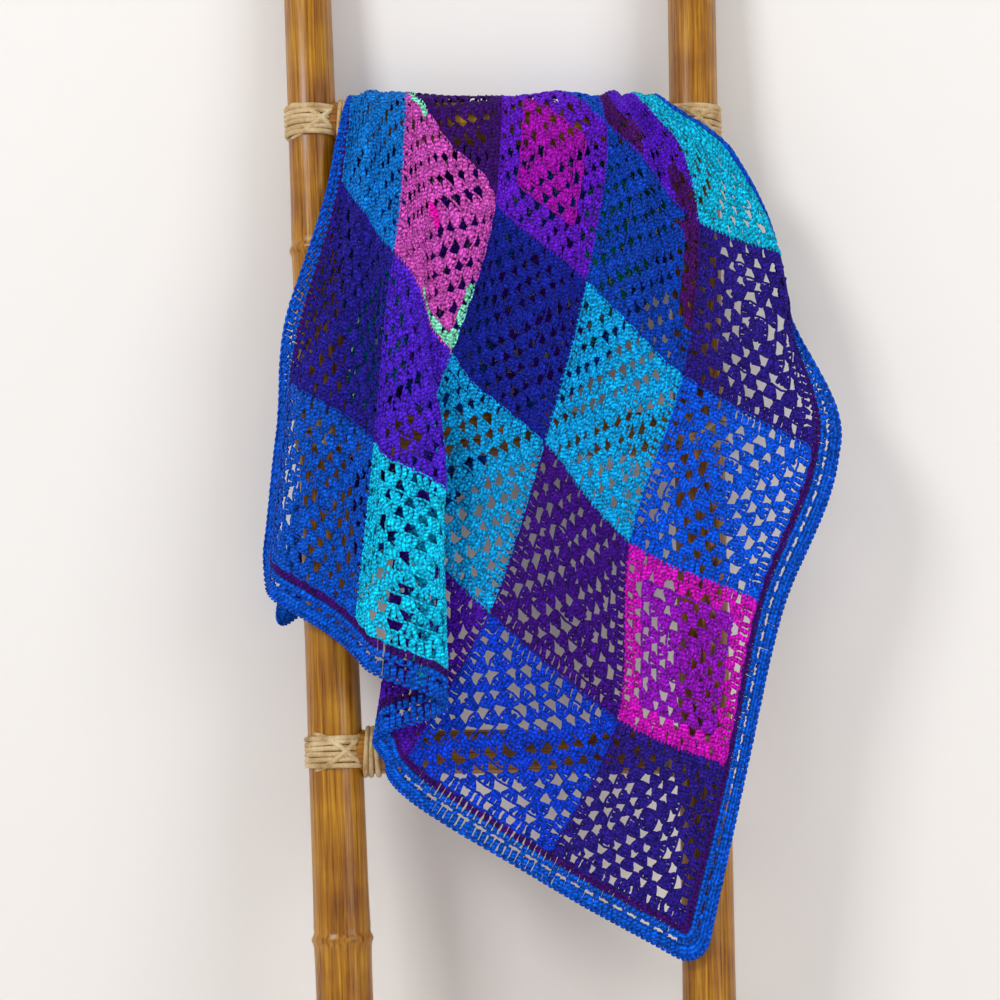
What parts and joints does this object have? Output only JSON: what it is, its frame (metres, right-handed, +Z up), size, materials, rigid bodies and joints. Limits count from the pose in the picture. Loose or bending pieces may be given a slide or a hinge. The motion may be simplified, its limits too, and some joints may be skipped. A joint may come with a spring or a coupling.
{
  "type": "granny square blanket on a bamboo ladder",
  "caption": "Crocheted granny square blanket with a plain edging, draped askew over the top rung of a leaning bamboo ladder whose rungs are held by rattan lashings.",
  "frame": {"origin": "middle of the bounding box's foot, on the floor that the ladder stands on", "axes": "+X to the right as seen from the front, +Y back towards the wall that the ladder leans on, +Z up"},
  "size_m": [0.5461, 0.2127, 1.5024],
  "materials": {
    "bamboo": "golden amber bamboo culm with a soft natural sheen",
    "rattan": "pale matte rattan cane",
    "crochet_squares": "soft brushed yarn in jewel colours, crocheted in clusters",
    "crochet_border": "soft brushed royal blue yarn, crocheted in rounds"
  },
  "bodies": {
    "root": {"left_rail": "bamboo", "right_rail": "bamboo", "rung_1": "bamboo", "rung_2": "bamboo", "rung_3": "bamboo", "rung_4": "bamboo", "lashing_left_1": "rattan", "lashing_left_2": "rattan", "lashing_left_3": "rattan", "lashing_left_4": "rattan", "lashing_right_1": "rattan", "lashing_right_2": "rattan", "lashing_right_3": "rattan", "lashing_right_4": "rattan", "crochet_squares": "crochet_squares", "crochet_border": "crochet_border"}
  },
  "joints": []
}
